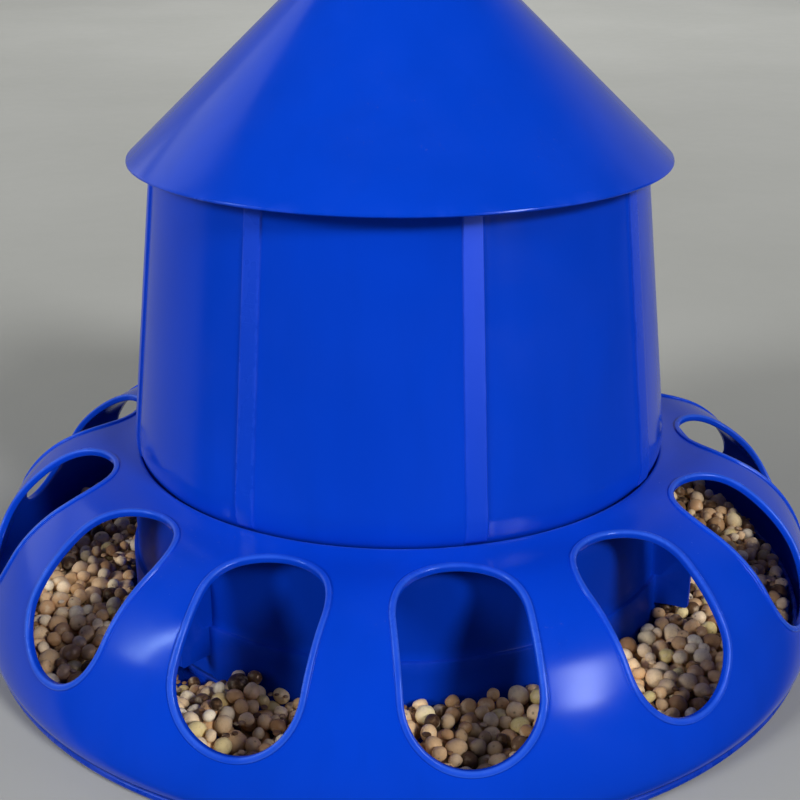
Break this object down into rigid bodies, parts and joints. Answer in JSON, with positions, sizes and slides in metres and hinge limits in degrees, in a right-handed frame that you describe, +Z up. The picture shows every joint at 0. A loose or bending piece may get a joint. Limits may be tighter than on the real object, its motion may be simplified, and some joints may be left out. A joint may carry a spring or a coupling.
{
  "type": "poultry feeder",
  "caption": "Gravity poultry feeder: conical lift-off lid on a ribbed barrel, standing in a domed ring of beaded feeding ports over a round pan.",
  "frame": {"origin": "centre of the flat foot under the pan, on the floor", "axes": "+Z up the feeder's axis, -Y the side seen in the picture, +X to the right in the picture"},
  "size_m": [0.3702, 0.3704, 0.3261],
  "materials": {
    "pan_plastic": "glossy moulded polypropylene",
    "well_plastic": "glossy moulded polypropylene",
    "cone_plastic": "glossy moulded polypropylene",
    "feed_grain": "dry loose whole grain",
    "ring_plastic": "glossy moulded polypropylene",
    "sleeve_plastic": "glossy moulded polypropylene",
    "barrel_plastic": "glossy moulded polypropylene",
    "lid_plastic": "glossy moulded polypropylene",
    "knob_plastic": "glossy moulded polypropylene",
    "screw_steel": "plated steel",
    "washer_steel": "plated steel"
  },
  "bodies": {
    "base": {"feed_pan": "pan_plastic", "feed_well": "well_plastic", "feed_cone": "cone_plastic", "feed_bed": "feed_grain"},
    "ring": {"port_ring": "ring_plastic"},
    "sleeve": {"flow_sleeve": "sleeve_plastic"},
    "hopper": {"hopper_barrel": "barrel_plastic"},
    "lid": {"rain_lid": "lid_plastic", "lid_knob": "knob_plastic", "knob_screw": "screw_steel", "knob_washer": "washer_steel"}
  },
  "joints": [
    {"name": "ring_lift", "type": "slide", "parent": "base", "child": "ring", "axis": [0, 0, 1], "range_m": [0, 0.075]},
    {"name": "sleeve_twist", "type": "hinge", "parent": "ring", "child": "sleeve", "pos_m": [0, 0, 0.0805], "axis": [0, 0, 1], "range_deg": [0, 18.4]},
    {"name": "hopper_lift", "type": "slide", "parent": "sleeve", "child": "hopper", "axis": [0, 0, 1], "range_m": [0, 0.05]},
    {"name": "lid_lift", "type": "slide", "parent": "hopper", "child": "lid", "axis": [0, 0, 1], "range_m": [0, 0.06]}
  ]
}
